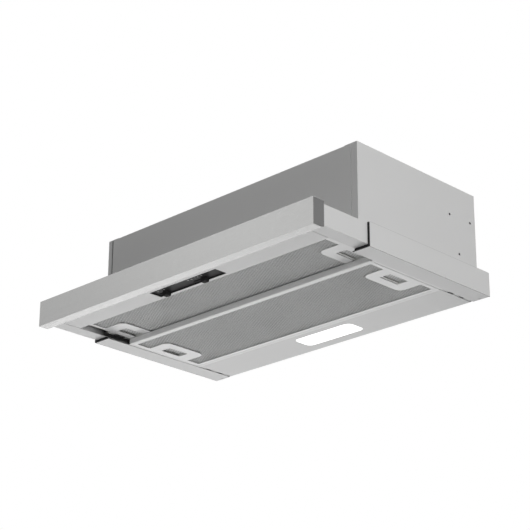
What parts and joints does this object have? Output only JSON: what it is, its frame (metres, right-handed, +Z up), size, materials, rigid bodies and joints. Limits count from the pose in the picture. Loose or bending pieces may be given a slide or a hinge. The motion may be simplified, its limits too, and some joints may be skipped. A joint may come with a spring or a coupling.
{
  "type": "pull-out range hood",
  "caption": "Pull-out range hood for a wall cabinet: steel body, drawer on ball slides with brushed front, grease filters with latches, slider controls, lamp and duct collar.",
  "frame": {"origin": "on the axis of the duct collar, at its shoulder: the top face of the base flange on the hood's top plate", "axes": "+Z up along the collar, +X to the right seen from the front and along the hood's width, +Y to the wall behind"},
  "size_m": [0.598, 0.396, 0.2239],
  "materials": {
    "sheet": "satin grey coat",
    "steel_trim": "brushed along X",
    "cap_plastic": "fine grain",
    "latch_sheet": "satin grey coat",
    "filter_mesh": "expanded mesh",
    "lens": "diffusing, satin",
    "white_plastic": "satin",
    "led_board": "solder mask",
    "fan_plastic": "moulded",
    "wheel_plastic": "moulded",
    "motor_metal": "cast",
    "plated_steel": "zinc plated",
    "slide_steel": "zinc plated, dark",
    "bright_steel": "polished",
    "cage_plastic": "moulded",
    "black_plastic": "fine grain",
    "red_plastic": "moulded",
    "rubber": "matt"
  },
  "bodies": {
    "hood": {"body_side_left": "sheet", "body_side_right": "sheet", "body_front_panel": "sheet", "body_rear_panel": "sheet", "body_top_plate": "sheet", "rail_left": "sheet", "rail_right": "sheet", "rail_guides": "black_plastic", "lamp_panel": "sheet", "lamp_lens": "lens", "lamp_housing": "white_plastic", "led_board": "led_board", "led_driver": "white_plastic", "fan_housing_left": "fan_plastic", "fan_housing_right": "fan_plastic", "fan_motor": "motor_metal", "motor_bracket": "plated_steel", "collar_base": "black_plastic", "duct_collar": "black_plastic", "flap_pin": "bright_steel", "slide_brackets": "plated_steel", "slide_outer_left": "slide_steel", "slide_outer_right": "slide_steel", "drawer_switch": "black_plastic", "connection_box": "white_plastic", "cable_inlet": "rubber", "body_screws": "plated_steel", "rear_filter_frame": "latch_sheet", "rear_filter_mesh": "filter_mesh", "rear_latch_plates": "latch_sheet"},
    "fan": {"fan_wheel": "wheel_plastic", "fan_shaft": "bright_steel"},
    "front_flap": {"flap_front": "fan_plastic"},
    "rear_flap": {"flap_rear": "fan_plastic"},
    "drawer": {"drawer_side_left": "sheet", "drawer_side_right": "sheet", "drawer_front_bar": "sheet", "drawer_cover": "sheet", "drawer_screws": "plated_steel", "front_trim": "steel_trim", "end_cap_left": "cap_plastic", "end_cap_right": "cap_plastic", "slide_inner_left": "slide_steel", "slide_inner_right": "slide_steel", "control_box": "black_plastic", "control_fascia": "black_plastic", "front_filter_frame": "latch_sheet", "front_filter_mesh": "filter_mesh", "front_latch_plates": "latch_sheet"},
    "cage_left": {"ball_cage_left": "cage_plastic", "slide_balls_left": "bright_steel"},
    "cage_right": {"ball_cage_right": "cage_plastic", "slide_balls_right": "bright_steel"},
    "plunger": {"switch_plunger": "red_plastic"},
    "light_slide": {"light_knob": "black_plastic"},
    "speed_slide": {"speed_knob": "black_plastic"},
    "catch_rear_left": {"rear_catch_left": "white_plastic"},
    "catch_rear_right": {"rear_catch_right": "white_plastic"},
    "catch_front_left": {"front_catch_left": "white_plastic"},
    "catch_front_right": {"front_catch_right": "white_plastic"}
  },
  "joints": [
    {"name": "drawer_slide", "type": "slide", "parent": "hood", "child": "drawer", "axis": [0, -1, 0], "range_m": [-0.0935, 0.058]},
    {"name": "ball_cage_left", "type": "slide", "parent": "hood", "child": "cage_left", "axis": [0, -1, 0], "range_m": [-0.04675, 0.029]},
    {"name": "ball_cage_right", "type": "slide", "parent": "hood", "child": "cage_right", "axis": [0, -1, 0], "range_m": [-0.04675, 0.029]},
    {"name": "fan_spin", "type": "hinge", "parent": "hood", "child": "fan", "pos_m": [0, -0.05042, -0.0659], "axis": [1, 0, 0], "continuous": true},
    {"name": "flap_front", "type": "hinge", "parent": "hood", "child": "front_flap", "pos_m": [0, 0, 0.01], "axis": [-1, 0, 0], "range_deg": [0, 75]},
    {"name": "flap_rear", "type": "hinge", "parent": "hood", "child": "rear_flap", "pos_m": [0, 0, 0.01], "axis": [1, 0, 0], "range_deg": [0, 75]},
    {"name": "drawer_switch", "type": "slide", "parent": "hood", "child": "plunger", "axis": [0, 1, 0], "range_m": [0, 0.002], "stiffness_N_per_m": 400, "springref_m": -0.002},
    {"name": "light_slider", "type": "slide", "parent": "drawer", "child": "light_slide", "axis": [1, 0, 0], "range_m": [-0.0138, 0]},
    {"name": "speed_slider", "type": "slide", "parent": "drawer", "child": "speed_slide", "axis": [1, 0, 0], "range_m": [-0.0213, 0]},
    {"name": "rear_catch_left", "type": "slide", "parent": "hood", "child": "catch_rear_left", "axis": [1, 0, 0], "range_m": [0, 0.0035], "stiffness_N_per_m": 300, "springref_m": -0.004},
    {"name": "rear_catch_right", "type": "slide", "parent": "hood", "child": "catch_rear_right", "axis": [-1, 0, 0], "range_m": [0, 0.0035], "stiffness_N_per_m": 300, "springref_m": -0.004},
    {"name": "front_catch_left", "type": "slide", "parent": "drawer", "child": "catch_front_left", "axis": [1, 0, 0], "range_m": [0, 0.0035], "stiffness_N_per_m": 300, "springref_m": -0.004},
    {"name": "front_catch_right", "type": "slide", "parent": "drawer", "child": "catch_front_right", "axis": [-1, 0, 0], "range_m": [0, 0.0035], "stiffness_N_per_m": 300, "springref_m": -0.004}
  ],
  "couplings": [
    {"joint": "ball_cage_left", "follows": "drawer_slide", "ratio": 0.5},
    {"joint": "ball_cage_right", "follows": "drawer_slide", "ratio": 0.5}
  ]
}
